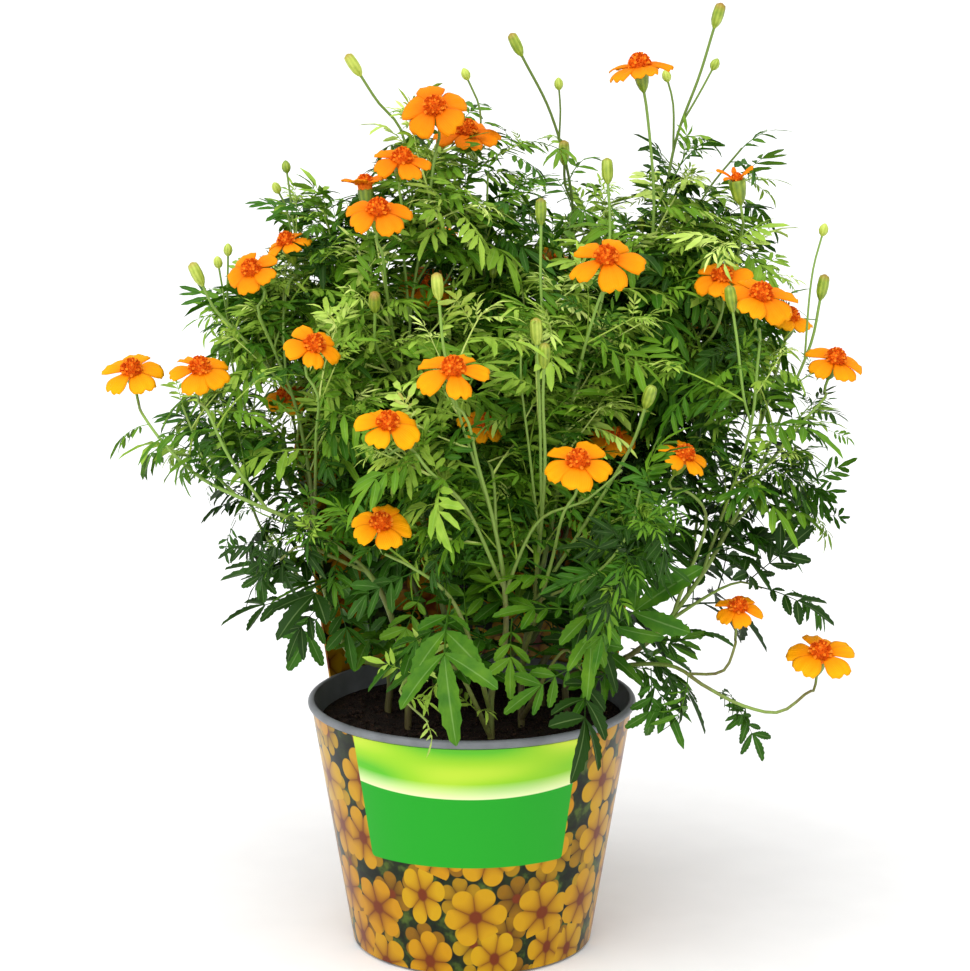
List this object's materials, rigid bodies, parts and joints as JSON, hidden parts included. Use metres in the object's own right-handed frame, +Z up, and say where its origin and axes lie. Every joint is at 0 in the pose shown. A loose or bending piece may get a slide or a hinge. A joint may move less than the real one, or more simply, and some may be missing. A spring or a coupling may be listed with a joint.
{
  "type": "potted signet marigold",
  "caption": "Signet marigold in bloom with single orange flowers, buds and feathery leaves, in a round plastic nursery pot with a printed sleeve that rises behind the plant.",
  "frame": {"origin": "middle of the pot's flat base, on the surface it stands on", "axes": "+Z up along the pot's axis; -Y is the front, where the label is; +X is the viewer's right"},
  "size_m": [0.2793, 0.2046, 0.342],
  "materials": {
    "pot": "dark grey moulded polypropylene, satin",
    "sleeve": "printed glossy film sheet, flowers on dark green with a bare green label",
    "soil": "loose moist potting compost, rough",
    "leaves": "green leaves and stems, slightly waxy",
    "petals": "golden orange petals, velvety",
    "disc": "red-orange florets, rough"
  },
  "bodies": {
    "root": {"pot": "pot", "sleeve": "sleeve", "soil": "soil", "leafy_stem_left_outer": "leaves", "leafy_stem_left": "leaves", "leafy_stem_centre_left": "leaves", "leafy_stem_front": "leaves", "leafy_stem_centre_right": "leaves", "leafy_stem_right_top": "leaves", "leafy_stem_right": "leaves", "leafy_stem_back_left": "leaves", "leafy_stem_back_right": "leaves", "bloom_01_petals": "petals", "bloom_01_disc": "disc", "bloom_02_petals": "petals", "bloom_02_disc": "disc", "bloom_03": "petals", "bloom_04_petals": "petals", "bloom_04_disc": "disc", "bloom_05": "petals", "bloom_06_petals": "petals", "bloom_06_disc": "disc", "bloom_07": "petals", "bloom_08": "petals", "bloom_09": "petals", "bloom_10_petals": "petals", "bloom_10_disc": "disc", "bloom_11": "petals", "bloom_12_petals": "petals", "bloom_12_disc": "disc", "bloom_13_petals": "petals", "bloom_13_disc": "disc", "bloom_14_petals": "petals", "bloom_14_disc": "disc", "bloom_15_petals": "petals", "bloom_15_disc": "disc", "bloom_16_petals": "petals", "bloom_16_disc": "disc", "bloom_17": "petals", "bloom_18_petals": "petals", "bloom_18_disc": "disc", "bloom_19_petals": "petals", "bloom_19_disc": "disc", "bloom_20_petals": "petals", "bloom_20_disc": "disc", "bloom_21": "petals", "bloom_22_petals": "petals", "bloom_22_disc": "disc", "bloom_23": "petals", "bloom_24_petals": "petals", "bloom_24_disc": "disc", "bloom_25": "petals", "bloom_26": "petals", "bloom_27": "petals", "bloom_28": "petals", "bloom_29": "petals", "bloom_30": "petals", "bloom_31": "petals", "bloom_32": "petals", "bloom_33": "petals"}
  },
  "joints": []
}
